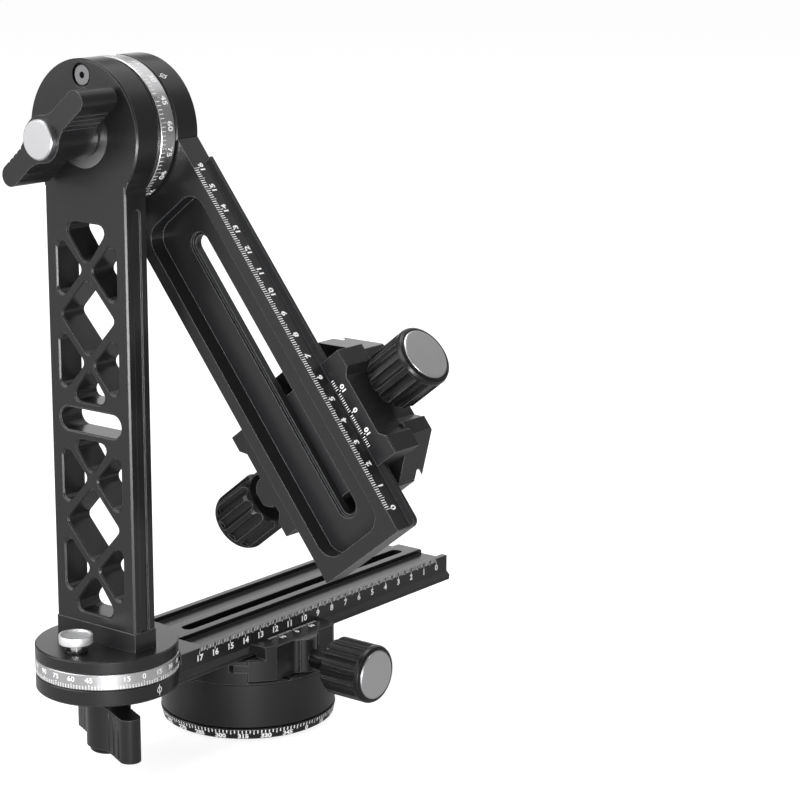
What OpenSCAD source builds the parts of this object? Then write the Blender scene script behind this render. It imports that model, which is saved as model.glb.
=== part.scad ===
// Panoramic tripod head: panning base with a dovetail clamp, sliding lower rail with a turntable,
// upright post, tilting upper rail and a double-clamp slider. Millimetres, +Z up.
// Origin: centre of the underside of the base plate. +X runs along the lower rail, away from the post.

/* [Pose] */
// tilt of the upper rail from hanging straight down, degrees
arm_tilt = 38.17; // [0:1:90]
// distance from the pivot to the middle of the slider, measured along the upper rail
slider_t = 153.3; // [90:1:170]

/* [Base] */
// diameter of the base plate and drum
base_d = 80; // [70:1:90]
// thickness of the base plate
plate_h = 5.4; // [4:0.2:8]
// height of the drum's top face
drum_top = 26; // [20:1:34]
// radius of the thread crests in the tripod bush
bush_bore_r = 3.97; // [3:0.01:5]

/* [Rails] */
// width of a rail between its side faces
rail_w = 46; // [38:1:56]
// reach of each dovetail edge beyond the side face
tail_out = 1.8; // [1:0.1:2.5]
// height of the straight dovetail edge
tail_edge = 1.9; // [1:0.1:3]
// height of a rail's underside above the drum
clamp_h = 12.2; // [10:0.2:18]
// thickness of the lower rail
rail_h = 11.9; // [9:0.1:16]
// free end of the lower rail, from the base axis
rail_end = 122; // [90:1:160]
// turntable axis, from the base axis
disc_off = 90.4; // [82:0.2:120]
// diameter of the turntable and of the head joint
disc_d = 61; // [58:0.5:66]
// length of the upper rail from the pivot to its end
arm_len = 204.5; // [180:0.5:240]
// thickness of the upper rail
arm_h = 12; // [9:0.1:16]

/* [Post] */
// thickness of the post
post_t = 12.6; // [10:0.1:16]
// width of the post
post_w = 46; // [38:1:54]
// height of the pivot above the underside of the base
pivot_z = 274.8; // [250:0.5:300]

/* [Knobs] */
// diameter of the fluted knobs
knob_d = 26; // [20:1:34]
// length of the fluted knobs
knob_l = 23; // [16:1:32]
// number of flutes
flutes = 12; // [8:1:20]
// reach of a wing from its axis
wing_reach = 29.3; // [24:0.1:36]

/* [Hidden] */
$fn = 96;
base_r = base_d / 2;
env_r = base_r - 0.4;
rail_bot = drum_top + clamp_h;
rail_top = rail_bot + rail_h;
half_w = rail_w / 2;
tail_w = half_w + tail_out;
tail_top = tail_edge + tail_out;
disc_x = -disc_off;
disc_r = disc_d / 2;
low_disc_top = rail_bot + 7.5;
ring_h = 6.9;
ring_r_in = disc_r - 8.5;
turn_r_in = disc_r - 6.5;
up_disc_top = low_disc_top + ring_h + 5.6;
foot_top = up_disc_top + 8.2;
post_f = disc_x - post_t / 2;
post_b = disc_x + post_t / 2;
head_step = 1.6;
head_ring_t = 8;
arm_f = post_b + head_step + head_ring_t + 0.9;
arm_b = arm_f + arm_h;
slide_c = 11.4;
cam_c = 10.6;
clamp_half = 23.7;
run = 0.05;
rest = 0.3;
jaw_z = rail_bot - 10.6;
jaw_top = rail_bot + 4.8;
split_y = half_w + 3;
neck_r = 4.2;
screw_r = 3.2;
base_knob_z = rail_bot - 4.8;
base_knob_y = env_r + 12.4;
pin_x = disc_x - 19.2;
pin_y = -1;
cam_tail = 19;
cam_edge = 1.8;
cam_lip = 4.5;
rail_knob_a = 4;
cam_knob_a = -3;
clamp_knob_c = -5.9;
screw_turns = [35, 145, 215, 325];
pin_z = base_knob_z - 4.4;
wing_tip = 4.6;
wing_hub = 9.6;
wing_fillet = 12;
lower_gap = 4.3;
spring_r = 2.05;

// ---- frames -------------------------------------------------------------

module arm_frame() {
    translate([0, 0, pivot_z])
        rotate([-arm_tilt, 0, 0])
            children();
}

// a along the rail, b across it (moving jaw at -b), c away from the platform
module slider_frame() {
    arm_frame()
        translate([arm_b, 0, -slider_t])
            rotate([180, 90, 0])
                children();
}

module camera_frame() {
    arm_frame()
        translate([arm_b + slide_c + cam_c, 0, -slider_t + 2])
            rotate([0, 90, 0])
                children();
}

// knob axes: local +Z points out of the clamp
module base_knob_frame() {
    translate([0, -base_knob_y, base_knob_z])
        rotate([90, 0, 0])
            children();
}

module slider_knob_frame() {
    slider_frame()
        translate([rail_knob_a, -43, clamp_knob_c])
            rotate([90, 0, 0])
                children();
}

module camera_knob_frame() {
    camera_frame()
        translate([cam_knob_a, -33.6, clamp_knob_c])
            rotate([90, 0, 0])
                children();
}

module lower_wing_frame() {
    translate([disc_x, 0, rail_bot + 0.2])
        rotate([180, 0, 65.5])
            children();
}

module upper_wing_frame() {
    translate([post_f, 0, pivot_z])
        rotate([0, -90, 0])
            rotate([0, 0, -49.2])
                children();
}

// ---- shared shapes ------------------------------------------------------

// section in Y and Z, drawn out along +X
module along_x(x0, x1) {
    translate([x0, 0, 0])
        rotate([90, 0, 90])
            linear_extrude(height = x1 - x0)
                children();
}

module block(x0, x1, y0, y1, z0, z1) {
    translate([x0, y0, z0])
        cube([x1 - x0, y1 - y0, z1 - z0]);
}

module post_disc(x0, x1, r) {
    translate([x0, 0, 0])
        rotate([0, 90, 0])
            cylinder(r = r, h = x1 - x0);
}

// round bar along Z with both rims bevelled
module turned(r, h, c) {
    rotate_extrude()
        polygon([[0, 0], [r - c, 0], [r, c], [r, h - c], [r - c, h], [0, h]]);
}

module ring(r1, r0, h) {
    difference() {
        cylinder(r = r1, h = h);
        translate([0, 0, -1])
            cylinder(r = r0, h = h + 2);
    }
}

function unit(v) = v / norm(v);

// corner p of a polygon between neighbours a and b, rounded to radius r with n chords
function corner(a, p, b, r, n) =
    let (u = unit(a - p), v = unit(b - p))
    let (half = acos(u * v) / 2, turn = 180 - 2 * half)
    let (c = p + unit(u + v) * r / sin(half))
    let (w1 = unit(p + u * r / tan(half) - c), w2 = unit(p + v * r / tan(half) - c))
    [for (k = [0:n]) c + r * (w1 * sin((1 - k / n) * turn) + w2 * sin(k / n * turn)) / sin(turn)];

function rounded(pts, r, n = 4) =
    let (m = len(pts))
    [for (i = [0:m - 1]) each corner(pts[(i + m - 1) % m], pts[i], pts[(i + 1) % m], r, n)];

// dovetail section standing on y = 0, grown by g on every side
function tail_section(h, g) = [
    [-tail_w - g, -g], [tail_w + g, -g], [tail_w + g, tail_edge + g],
    [half_w + g, tail_top + g], [half_w + g, h], [-half_w - g, h],
    [-half_w - g, tail_top + g], [-tail_w - g, tail_edge + g]
];

function camera_section(g) = [
    [-cam_tail - g, -g], [cam_tail + g, -g], [cam_tail + g, cam_edge],
    [cam_tail + g - cam_lip + cam_edge - 1, cam_lip + 1],
    [-cam_tail - g + cam_lip - cam_edge + 1, cam_lip + 1], [-cam_tail - g, cam_edge]
];

module fluted_knob() {
    difference() {
        union() {
            rotate_extrude()
                polygon([
                    [0, 0], [knob_d / 2 - 2.2, 0], [knob_d / 2 - 0.8, 1.2], [knob_d / 2, 2.6],
                    [knob_d / 2, knob_l - 1.6], [knob_d / 2 - 0.5, knob_l - 0.5],
                    [knob_d / 2 - 1.4, knob_l], [0, knob_l]
                ]);
        }
        for (i = [0:flutes - 1])
            rotate([0, 0, i * 360 / flutes])
                translate([knob_d / 2 + 1.15, 0, -1])
                    cylinder(r = 2.7, h = knob_l - 1.6, $fn = 32);
        translate([0, 0, knob_l - 1.6])
            cylinder(r = knob_d / 2 - 2.1, h = 3);
        translate([0, 0, -1])
            cylinder(r = screw_r + run, h = knob_l - 5);
    }
}

module neck(l) {
    translate([0, 0, -l])
        difference() {
            cylinder(r1 = neck_r, r2 = neck_r + 0.8, h = l);
            translate([0, 0, -1])
                cylinder(r = screw_r + run, h = l + 2);
        }
}

module knob_cap() {
    translate([0, 0, knob_l - 1.6])
        turned(knob_d / 2 - 2.2, 2.1, 0.4);
}

module clamp_screw(l) {
    translate([0, 0, -l])
        turned(screw_r, l + knob_l - 6.2, 0.5);
}

// spring drawn as a pleated sleeve of the coil's size
module coil(r, wire, h, turns) {
    step = h / (2 * turns);
    rotate_extrude()
        polygon(concat(
            [for (i = [0:2 * turns]) [r + wire * (i % 2 == 0 ? 1 : 0), i * step]],
            [for (i = [2 * turns:-1:0]) [r - wire * (i % 2 == 0 ? 0.2 : 1.2), i * step]]
        ));
}

module cap_screw(r, l, head_r, head_h) {
    difference() {
        union() {
            cylinder(r = r, h = l);
            translate([0, 0, l])
                turned(head_r, head_h, 0.3);
        }
        translate([0, 0, l + head_h - head_h * 0.55])
            cylinder(r = head_r * 0.5, h = head_h, $fn = 6);
    }
}

module sunk_screw(r, l, head_r) {
    difference() {
        union() {
            cylinder(r = r, h = l);
            translate([0, 0, l - head_r + r])
                cylinder(r1 = r, r2 = head_r, h = head_r - r);
        }
        translate([0, 0, l - 1.6])
            cylinder(r = r * 0.6, h = 3, $fn = 6);
    }
}

// ---- panning base -------------------------------------------------------

module base_plate() {
    color([0.05, 0.05, 0.055])
        difference() {
            union() {
                rotate_extrude()
                    polygon([
                        [0, 0], [base_r - 2.6, 0], [base_r - 0.9, 1], [base_r, plate_h - 0.5],
                        [base_r - 0.4, plate_h], [0, plate_h]
                    ]);
                cylinder(r = 14, h = drum_top - 6);
            }
            translate([0, 0, -1])
                cylinder(r = 8 + run, h = 14.2);
            translate([0, 0, 13.8])
                cylinder(r = 2.6, h = drum_top);
            for (a = [60:120:300])
                rotate([0, 0, a])
                    translate([24, 0, -1])
                        cylinder(r = 1.7, h = 3.4, $fn = 32);
        }
}

module tripod_bush() {
    color([0.72, 0.72, 0.74])
        difference() {
            turned(8, 12.8, 0.4);
            translate([0, 0, -1])
                cylinder(r = bush_bore_r, h = 12.5);
        }
}

module pan_washer() {
    color([0.85, 0.84, 0.8])
        translate([0, 0, plate_h])
            ring(34, 16, 0.4);
}

module drum() {
    color([0.06, 0.06, 0.065])
        translate([0, 0, plate_h + 0.45])
            difference() {
                turned(base_r - 0.2, drum_top - plate_h - 0.45, 0.5);
                translate([0, 0, -1])
                    cylinder(r = 14 + run, h = drum_top);
                translate([0, 0, drum_top - plate_h - 0.45 - 6.3])
                    cylinder(r = 19, h = 10);
                for (a = screw_turns)
                    rotate([0, 0, a])
                        translate([29, 0, drum_top - plate_h - 12])
                            cylinder(r = 1.7, h = 20, $fn = 32);
                for (a = [0:30:330])
                    rotate([0, 0, a])
                        translate([24.5, 0, -1])
                            cylinder(r = 3, h = 8, $fn = 32);
            }
}

module retaining_disc() {
    color([0.6, 0.6, 0.62])
        translate([0, 0, drum_top - 6])
            difference() {
                turned(18.6, 3, 0.4);
                translate([0, 0, -1])
                    cylinder(r = 2.6, h = 10);
                translate([0, 0, 0.6])
                    cylinder(r1 = 2.7, r2 = 5.25, h = 2.5);
            }
}

module retaining_screw() {
    color([0.5, 0.5, 0.52])
        translate([0, 0, 14])
            sunk_screw(2.5, drum_top - 3.1 - 14, 4.9);
}

// turned blank that every part of the base clamp is cut from
module clamp_blank(z0, z1) {
    translate([0, 0, z0])
        rotate_extrude()
            polygon([
                [0, 0], [env_r, 0], [env_r, z1 - z0 - 0.7], [env_r - 0.7, z1 - z0], [0, z1 - z0]
            ]);
}

module base_clamp() {
    color([0.055, 0.055, 0.06])
        difference() {
            union() {
                intersection() {
                    clamp_blank(drum_top, rail_bot - 0.8);
                    block(-60, 60, -split_y, 60, 0, 60);
                }
                intersection() {
                    clamp_blank(drum_top, drum_top + 1.3);
                    block(-60, 60, -60, 60, 0, 60);
                }
                intersection() {
                    clamp_blank(drum_top, jaw_top);
                    union() {
                        block(-clamp_half, clamp_half, half_w - 4, 60, 20, 60);
                        block(-clamp_half, clamp_half, -half_w + 2, half_w, 20, rail_bot - 0.1);
                    }
                }
            }
            along_x(-60, 60)
                translate([0, rail_bot])
                    polygon(tail_section(20, 0.1));
            block(-60, 60, -split_y - 1, -split_y + 6.6, rail_bot - 6.4, rail_bot - 3);
            translate([0, env_r + 1, 0])
                linear_extrude(height = 60)
                    polygon([[-17, 1], [-14, -4.5], [14, -4.5], [17, 1]]);
            translate([0, 20, base_knob_z])
                rotate([90, 0, 0])
                    cylinder(r = screw_r + run, h = 60);
            for (x = [-14, 14])
                translate([x, -10, pin_z])
                    rotate([90, 0, 0])
                        cylinder(r = 1.6 + run, h = 40, $fn = 48);
            for (x = [-14, 14])
                translate([x, -split_y + 6, pin_z])
                    rotate([90, 0, 0])
                        cylinder(r = 2.5, h = 20, $fn = 48);
            for (a = screw_turns)
                rotate([0, 0, a])
                    translate([29, 0, 0]) {
                        cylinder(r = 2.1, h = 60, $fn = 32);
                        translate([0, 0, drum_top + 4.2])
                            cylinder(r = 3.7, h = 60, $fn = 32);
                    }
        }
}

module base_clamp_screws() {
    color([0.3, 0.3, 0.31])
        for (a = screw_turns)
            rotate([0, 0, a])
                translate([29, 0, drum_top - 6])
                    cap_screw(1.65, 10.2, 3.4, 3.4);
}

module base_jaw() {
    color([0.055, 0.055, 0.06])
        difference() {
            intersection() {
                union() {
                    clamp_blank(jaw_z, rail_bot - 0.8);
                    intersection() {
                        clamp_blank(rail_bot - 3, jaw_top);
                        block(-clamp_half, clamp_half, -60, 60, 0, 60);
                    }
                }
                union() {
                    block(-60, 60, -60, -split_y - rest, 20, 60);
                    block(-60, 60, -60, -half_w - 0.1, rail_bot - 0.5, 60);
                    block(-60, 60, -60, -split_y + 4.8, rail_bot - 6.3, rail_bot - 3.1);
                }
            }
            along_x(-60, 60)
                translate([0, rail_bot])
                    polygon(tail_section(20, 0.1));
            block(-60, 60, -split_y, 0, rail_bot - 0.6, rail_bot + 1);
            for (m = [0, 1])
                mirror([m, 0, 0])
                    linear_extrude(height = 60)
                        difference() {
                            translate([-19.5, -env_r - 3])
                                square([19.5, 8.2]);
                            translate([0, -env_r + 6.4])
                                circle(r = 6.4);
                            difference() {
                                translate([-9.1, -env_r + 2.5])
                                    square([2.9, 2.7]);
                                translate([-9.1, -env_r + 2.5])
                                    circle(r = 2.7, $fn = 32);
                            }
                        }
            translate([0, 0, base_knob_z])
                rotate([90, 0, 0])
                    cylinder(r = screw_r + rest, h = 60);
            for (x = [-14, 14])
                translate([x, 0, pin_z])
                    rotate([90, 0, 0])
                        cylinder(r = 1.6 + run, h = env_r - 8, $fn = 48);
        }
}

module base_guide_pins() {
    color([0.75, 0.75, 0.77])
        for (x = [-14, 14])
            translate([x, -12, pin_z])
                rotate([90, 0, 0])
                    cylinder(r = 1.6, h = env_r - 8 - 12.1, $fn = 48);
}

module base_springs() {
    color([0.6, 0.6, 0.62])
        for (x = [-14, 14])
            translate([x, -split_y + 5.9, pin_z])
                rotate([90, 0, 0])
                    coil(spring_r, 0.25, 5.9, 5);
}

module base_screw() {
    color([0.7, 0.7, 0.72])
        base_knob_frame()
            clamp_screw(base_knob_y - 4);
}

module base_knob() {
    color([0.04, 0.04, 0.045])
        base_knob_frame() {
            fluted_knob();
            neck(base_knob_y - env_r - rest);
        }
}

module base_knob_cap() {
    color([0.8, 0.8, 0.81])
        base_knob_frame()
            knob_cap();
}

// ---- lower rail and turntable -------------------------------------------

module lower_rail() {
    color([0.06, 0.06, 0.065])
        difference() {
            union() {
                difference() {
                    along_x(disc_x, rail_end)
                        translate([0, rail_bot])
                            polygon(tail_section(rail_h, 0));
                    translate([disc_x, 0, low_disc_top])
                        cylinder(r = disc_r + 0.8, h = 30);
                    translate([disc_x, 0, low_disc_top - 20])
                        cylinder(r = disc_r - 4, h = 20 + 1);
                }
                translate([disc_x, 0, rail_bot + 0.2])
                    turned(disc_r, low_disc_top - rail_bot - 0.2, 0.6);
            }
            translate([disc_x, 0, 0])
                cylinder(r = 5 + run, h = 80);
            for (s = [-1, 1])
                block(disc_x + 36.4, rail_end + 1, s * 13.5 - 6.7, s * 13.5 + 6.7,
                    rail_top - 2.2, rail_top + 1);
            translate([0, 0, rail_bot - 1])
                linear_extrude(height = rail_h + 2) {
                    translate([disc_x + 48 + 3.1, 0])
                        circle(r = 3.1);
                    translate([rail_end - 12, 0])
                        circle(r = 3.1);
                    translate([disc_x + 51.1, -3.1])
                        square([rail_end - 12 - disc_x - 51.1, 6.2]);
                }
            for (y = [-12, 12])
                translate([rail_end - 5, y, rail_bot - 1])
                    cylinder(r = 1.65, h = 7, $fn = 32);
            along_x(rail_end - 1, rail_end + 1)
                difference() {
                    translate([-40, 20])
                        square([80, 50]);
                    translate([0, rail_bot + 0.6])
                        polygon(tail_section(rail_h - 1.2, -0.6));
                }
        }
}

module stop_screws() {
    color([0.3, 0.3, 0.31])
        for (y = [-12, 12])
            translate([rail_end - 5, y, rail_bot + 5])
                rotate([180, 0, 0])
                    cap_screw(1.6, 5, 2.9, 2.4);
}

module turn_washer() {
    color([0.85, 0.84, 0.8])
        translate([disc_x, 0, low_disc_top])
            ring(ring_r_in - 1, 8, 0.4);
}

module degree_ring() {
    color([0.8, 0.8, 0.81])
        translate([disc_x, 0, low_disc_top + 0.1])
            difference() {
                turned(disc_r, ring_h - 0.1, 0.25);
                translate([0, 0, -1])
                    cylinder(r = turn_r_in, h = 20);
            }
}

module turn_disc() {
    color([0.06, 0.06, 0.065])
        difference() {
            union() {
                translate([disc_x, 0, low_disc_top + ring_h])
                    turned(disc_r, up_disc_top - low_disc_top - ring_h, 0.5);
                translate([disc_x, 0, low_disc_top + 0.45])
                    cylinder(r = turn_r_in - run, h = ring_h);
            }
            translate([disc_x, 0, 0])
                cylinder(r = 5 + run, h = 80);
            for (y = [-15, 15])
                translate([disc_x, y, 0]) {
                    cylinder(r = 2.05, h = 80, $fn = 32);
                    cylinder(r = 3.8, h = low_disc_top + 5, $fn = 32);
                }
            translate([pin_x, pin_y, 0]) {
                cylinder(r = 4, h = up_disc_top - 2.6, $fn = 48);
                cylinder(r = 4.8 + run, h = 80, $fn = 48);
            }
        }
}

module turn_bolt() {
    color([0.72, 0.72, 0.74])
        translate([disc_x, 0, rail_bot - 18])
            turned(5, up_disc_top - rail_bot + 18 - 0.2, 0.5);
}

module foot_block() {
    color([0.05, 0.05, 0.055])
        difference() {
            block(post_f, post_b, -post_w / 2, post_w / 2, up_disc_top, foot_top - 0.1);
            for (y = [-15, 15])
                translate([disc_x, y, 0])
                    cylinder(r = 2.05, h = 90, $fn = 32);
        }
}

module foot_screws() {
    color([0.3, 0.3, 0.31])
        for (y = [-15, 15])
            translate([disc_x, y, foot_top + 10])
                rotate([180, 0, 0])
                    cap_screw(2, foot_top + 10 - low_disc_top - 5, 3.7, 3.6);
}

module pin_bush() {
    color([0.75, 0.75, 0.77])
        translate([pin_x, pin_y, up_disc_top - 2.6])
            difference() {
                turned(4.8, 3.6, 0.3);
                translate([0, 0, -1])
                    cylinder(r = 2.4 + run, h = 10, $fn = 48);
            }
}

module index_pin() {
    color([0.85, 0.85, 0.87])
        translate([pin_x, pin_y, low_disc_top + 0.6])
            rotate_extrude()
                polygon([
                    [0, 0], [1.4, 0], [2.4, 1], [2.4, 1.6], [3.7, 1.6], [3.7, 2.6], [2.4, 2.6],
                    [2.4, 14.2], [5.6, 15.4], [6.7, 15.8], [7.2, 16.6], [7.2, 18.2],
                    [6.7, 19.1], [5.6, 19.4], [0, 19.4]
                ]);
}

module pin_spring() {
    color([0.6, 0.6, 0.62])
        translate([pin_x, pin_y, low_disc_top + 3.3])
            coil(3.1, 0.3, up_disc_top - 2.7 - low_disc_top - 3.3, 4);
}

// wing seen along its axis: hub, two straight arms with round ends, hollow fillets between
module wing_plan() {
    reach = wing_reach - wing_tip;
    fx = sqrt(pow(wing_hub + wing_fillet, 2) - pow(wing_tip + wing_fillet, 2));
    fy = wing_tip + wing_fillet;
    difference() {
        union() {
            circle(r = wing_hub);
            for (m = [0, 1])
                mirror([m, 0]) {
                    translate([0, -wing_tip])
                        square([reach, 2 * wing_tip]);
                    translate([reach, 0])
                        circle(r = wing_tip, $fn = 48);
                    for (k = [0, 1])
                        mirror([0, k])
                            difference() {
                                polygon([[0, 0], [fx, 0], [fx, fy]]);
                                translate([fx, fy])
                                    circle(r = wing_fillet);
                            }
                }
        }
        for (a = [0, 180])
            rotate([0, 0, a])
                for (x = [12.4:2.9:21.2])
                    translate([x, -wing_tip - 0.15 - 0.012 * pow(max(0, fx - x), 2)])
                        circle(r = 0.55, $fn = 24);
    }
}

module wing_body() {
    difference() {
        union() {
            translate([0, 0, 3.1])
                linear_extrude(height = 19.4)
                    wing_plan();
            turned(wing_hub, 20, 0.4);
        }
        translate([0, 0, -1])
            cylinder(r = 5 + run, h = 20.5);
        translate([0, 0, 20.5])
            cylinder(r = 8.3, h = 5);
    }
}

module wing_cap() {
    translate([0, 0, 20.5])
        turned(8.2, 4.6, 0.5);
}

module lower_spacer() {
    color([0.05, 0.05, 0.055])
        lower_wing_frame()
            ring(wing_hub, 5 + run, lower_gap);
}

module lower_wing() {
    color([0.04, 0.04, 0.045])
        lower_wing_frame()
            translate([0, 0, lower_gap])
                wing_body();
}

module lower_wing_cap() {
    color([0.8, 0.8, 0.81])
        lower_wing_frame()
            translate([0, 0, lower_gap])
                wing_cap();
}

// ---- post and head joint ------------------------------------------------

// windows of the truss, from the pivot down, on the upper half: corner radius, corners
post_mid = -120.2;
side_reach = 15.2;
cells = [
    [3.3, [[-13.6, -36.6], [13.6, -36.6], [0, -54.3]]],
    for (z = [-56.2, -95.5], s = [1, -1])
        [2.9, [[s * 16.9, z + s * side_reach], [s * 16.9, z - s * side_reach], [s * 2.3, z]]],
    [2.7, [[0, -59.2], [15.6, -75.8], [0, -92.4], [-15.6, -75.8]]],
    [3, [[0, -97.2], [11.6, -111.9], [-11.6, -111.9]]]
];

// point inside a cell at equal distance from its sides
function heart(p) = len(p) == 4
    ? (p[0] + p[2]) / 2
    : (p[0] * norm(p[1] - p[2]) + p[1] * norm(p[0] - p[2]) + p[2] * norm(p[0] - p[1]))
        / (norm(p[1] - p[2]) + norm(p[0] - p[2]) + norm(p[0] - p[1]));

function inradius(p) =
    let (h = heart(p), e = unit(p[1] - p[0]), w = h - p[0])
    abs(w[0] * e[1] - w[1] * e[0]);

module cell_cut(cell) {
    p = cell[1];
    h = heart(p);
    grow = (inradius(p) + 0.7) / inradius(p);
    q = [for (v = p) v - h];
    translate([0, h[0], h[1]]) {
        along_x(post_f - 1, post_b + 1)
            polygon(rounded(q, cell[0]));
        translate([post_f + 0.6, 0, 0])
            rotate([90, 0, 90])
                mirror([0, 0, 1])
                    linear_extrude(height = 0.7, scale = grow)
                        polygon(rounded(q, cell[0]));
    }
}

module slot_2d(half, r) {
    circle(r = r);
    translate([-half + r, 0])
        circle(r = r);
    translate([half - r, 0])
        circle(r = r);
    translate([-half + r, -r])
        square([2 * half - 2 * r, 2 * r]);
}

module post() {
    color([0.05, 0.05, 0.055])
        difference() {
            union() {
                translate([disc_x, 0, foot_top])
                    linear_extrude(height = pivot_z - foot_top - 20)
                        polygon([
                            [-post_t / 2, -post_w / 2 + 0.7], [-post_t / 2 + 0.7, -post_w / 2],
                            [post_t / 2 - 0.7, -post_w / 2], [post_t / 2, -post_w / 2 + 0.7],
                            [post_t / 2, post_w / 2 - 0.7], [post_t / 2 - 0.7, post_w / 2],
                            [-post_t / 2 + 0.7, post_w / 2], [-post_t / 2, post_w / 2 - 0.7]
                        ]);
                translate([post_f, 0, pivot_z])
                    rotate([0, 90, 0])
                        turned(disc_r, post_t, 0.7);
                for (s = [-1, 1])
                    translate([0, 0, pivot_z])
                        along_x(post_f + 0.3, post_b - 0.3)
                            difference() {
                                polygon([[s * (post_w / 2 - 3), -24], [s * (post_w / 2), -22.8],
                                    [s * (post_w / 2 + 1.6), -18.1], [s * (post_w / 2 - 3), -16]]);
                                translate([s * (post_w / 2 + 8), -22.8])
                                    circle(r = 8);
                            }
                translate([0, 0, pivot_z])
                    post_disc(post_b - 1, post_b + head_step, disc_r - 1.2);
                translate([0, 0, pivot_z])
                    post_disc(post_b, post_b + head_step + head_ring_t, ring_r_in - run);
            }
            translate([0, 0, pivot_z]) {
                for (p = cells)
                    cell_cut(p);
                translate([0, 0, 2 * post_mid])
                    mirror([0, 0, 1])
                        for (p = cells)
                            cell_cut(p);
                translate([0, 0, post_mid]) {
                    along_x(post_f - 1, post_b + 1)
                        slot_2d(17.5, 4.9);
                    along_x(post_f - 1, post_f + 0.5)
                        slot_2d(18.1, 5.5);
                }
                post_disc(post_f - 1, post_b + 20, 5 + run);
                post_disc(post_f - 1, post_f + 0.8, 14.1);
                translate([0, 0, 23.8])
                    post_disc(post_f - 1, post_f + 6, 2.05);
                translate([0, 0, 23.8])
                    post_disc(post_f - 1, post_f + 1.5, 5.1);
            }
            for (s = [-1, 1]) {
                block(disc_x - 2.4, disc_x + 2.4, s * post_w / 2 - 0.8, s * post_w / 2 + 0.8,
                    foot_top - 1, pivot_z - 32);
                translate([disc_x, s * post_w / 2, pivot_z - 32])
                    rotate([90, 0, 0])
                        translate([0, 0, -0.8])
                            cylinder(r = 2.4, h = 1.6, $fn = 48);
            }
            for (y = [-15, 15])
                translate([disc_x, y, foot_top - 1])
                    cylinder(r = 2.05, h = 12, $fn = 32);
        }
}

module post_screw() {
    color([0.1, 0.1, 0.105])
        translate([post_f + 0.5, 0, pivot_z + 23.8])
            rotate([0, 90, 0])
                difference() {
                    union() {
                        turned(4.2, 1, 0.2);
                        cylinder(r = 2, h = 5, $fn = 48);
                    }
                    translate([0, 0, -1])
                        cylinder(r = 1.5, h = 3, $fn = 6);
                }
}

module head_ring() {
    color([0.8, 0.8, 0.81])
        translate([post_b + head_step, 0, pivot_z])
            rotate([0, 90, 0])
                difference() {
                    turned(disc_r, head_ring_t, 0.25);
                    translate([0, 0, -1])
                        cylinder(r = ring_r_in, h = 20);
                }
}

module head_washer() {
    color([0.85, 0.84, 0.8])
        translate([post_b + head_step + head_ring_t, 0, pivot_z])
            rotate([0, 90, 0])
                ring(ring_r_in + 4, 8, 0.8);
}

module wing_washer() {
    color([0.5, 0.5, 0.52])
        translate([post_f - 0.1, 0, pivot_z])
            rotate([0, 90, 0])
                ring(13.9, 5.2, 0.9);
}

module upper_wing() {
    color([0.04, 0.04, 0.045])
        upper_wing_frame()
            translate([0, 0, 0.5])
                wing_body();
}

module upper_wing_cap() {
    color([0.8, 0.8, 0.81])
        upper_wing_frame()
            translate([0, 0, 0.5])
                wing_cap();
}

module head_bolt() {
    color([0.72, 0.72, 0.74])
        translate([post_f - 18, 0, pivot_z])
            rotate([0, 90, 0])
                difference() {
                    union() {
                        turned(5, arm_b - 4 - post_f + 18, 0.5);
                        translate([0, 0, arm_b - 4 - post_f + 18 - 0.5])
                            turned(9, 4.5, 0.5);
                    }
                    translate([0, 0, arm_b - post_f + 18 - 3])
                        cylinder(r = 3.2, h = 5, $fn = 6);
                }
}

// ---- upper rail ---------------------------------------------------------

module upper_rail() {
    color([0.06, 0.06, 0.065])
        arm_frame()
            difference() {
                union() {
                    translate([arm_f, 0, 0])
                        rotate([0, 90, 0])
                            turned(disc_r, arm_h + 0.9, 0.6);
                    difference() {
                        translate([arm_b, 0, -arm_len])
                            linear_extrude(height = arm_len - 20.7)
                                rotate([0, 0, 90])
                                    polygon(tail_section(arm_h, 0));
                        translate([0, 0, 0])
                            difference() {
                                post_disc(arm_f + arm_h - tail_top - 0.2, arm_b + 1, 40);
                                post_disc(arm_f - 1, arm_b + 2, disc_r);
                                block(arm_f - 1, arm_b + 2, -half_w, half_w, -60, 0);
                            }
                        for (s = [-1, 1])
                            translate([arm_f - 1, s * (tail_w - 3), -arm_len + 3])
                                rotate([0, 90, 0])
                                    difference() {
                                        translate([0, s > 0 ? 0 : -4, 0])
                                            cube([4, 4, 40]);
                                        translate([0, 0, -1])
                                            cylinder(r = 3, h = 50, $fn = 48);
                                    }
                    }
                }
                translate([arm_f - 1, 0, 0])
                    rotate([0, 90, 0])
                        linear_extrude(height = 8.3)
                            polygon(rounded([[41, -17.5], [198, -17.5], [198, 17.5],
                                [41, 17.5]], 8, 8));
                translate([arm_f, 0, 0])
                    rotate([0, 90, 0])
                        linear_extrude(height = 30)
                            translate([120, 0])
                                slot_2d(66, 3.8);
                translate([arm_f, 0, 0])
                    rotate([0, 90, 0])
                        linear_extrude(height = 8.6)
                            translate([120, 0])
                                slot_2d(67.4, 5.2);
                post_disc(arm_f - 1, arm_b + 2, 5 + run);
                post_disc(arm_b - 4.6, arm_b + 2, 9 + run);
            }
}

// ---- slider, clamp on the upper rail ------------------------------------

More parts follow.
